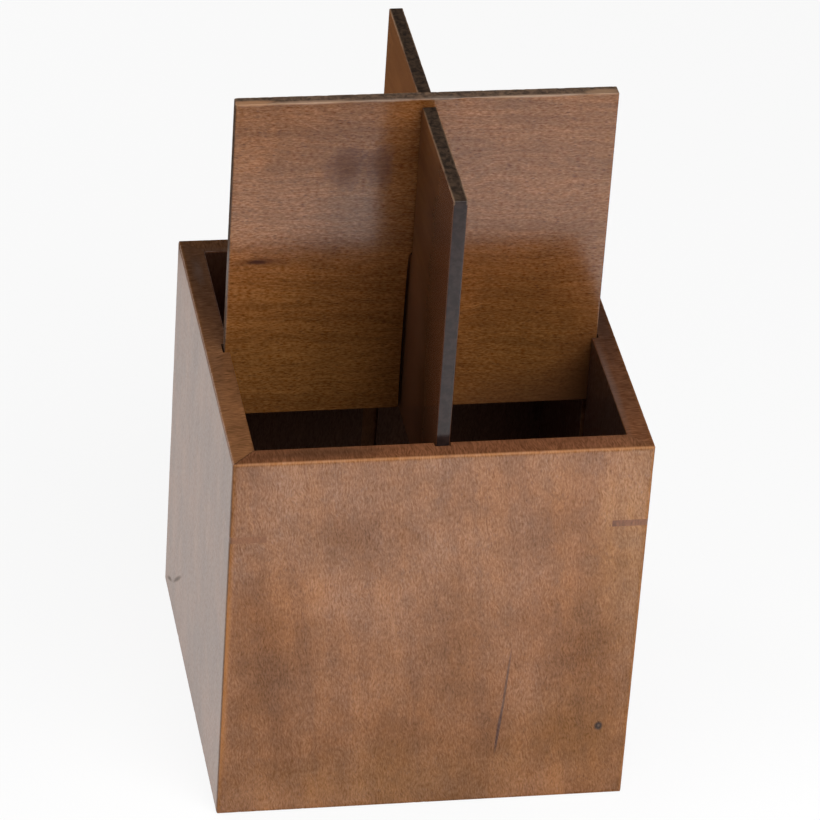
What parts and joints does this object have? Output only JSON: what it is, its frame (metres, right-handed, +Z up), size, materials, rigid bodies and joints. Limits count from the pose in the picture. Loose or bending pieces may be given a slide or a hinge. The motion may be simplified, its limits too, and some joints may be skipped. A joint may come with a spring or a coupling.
{
  "type": "divided wooden caddy",
  "caption": "Square open-topped box of mitred stained wood with a lift-out cross divider of slotted plywood boards, for cutlery, utensils or pens.",
  "frame": {"origin": "middle of the foot, on the surface that the box stands on", "axes": "+Z up along the way the divider lifts, +X to the right seen from the front, front at -Y"},
  "size_m": [0.12, 0.12, 0.2034],
  "materials": {
    "stained_beech": "brown stain under satin lacquer, upright grain with short flecks",
    "divider_plywood": "brown stain under satin lacquer, level grain, dark edges with worn arrises",
    "floor_plywood": "brown stain, matt",
    "key_wood": "darker stain under satin lacquer"
  },
  "bodies": {
    "box": {"front_panel": "stained_beech", "right_panel": "stained_beech", "back_panel": "stained_beech", "left_panel": "stained_beech", "base_panel": "floor_plywood", "front_right_key": "key_wood", "front_left_key": "key_wood"},
    "front_to_back_board": {"front_to_back_divider": "divider_plywood"},
    "side_to_side_board": {"side_to_side_divider": "divider_plywood"}
  },
  "joints": [
    {"name": "divider_lift", "type": "slide", "parent": "box", "child": "front_to_back_board", "axis": [0, 0, 1], "range_m": [-0.0911, 0.03]},
    {"name": "side_to_side_lift", "type": "slide", "parent": "front_to_back_board", "child": "side_to_side_board", "axis": [0, 0, 1], "range_m": [0, 0.106]}
  ]
}
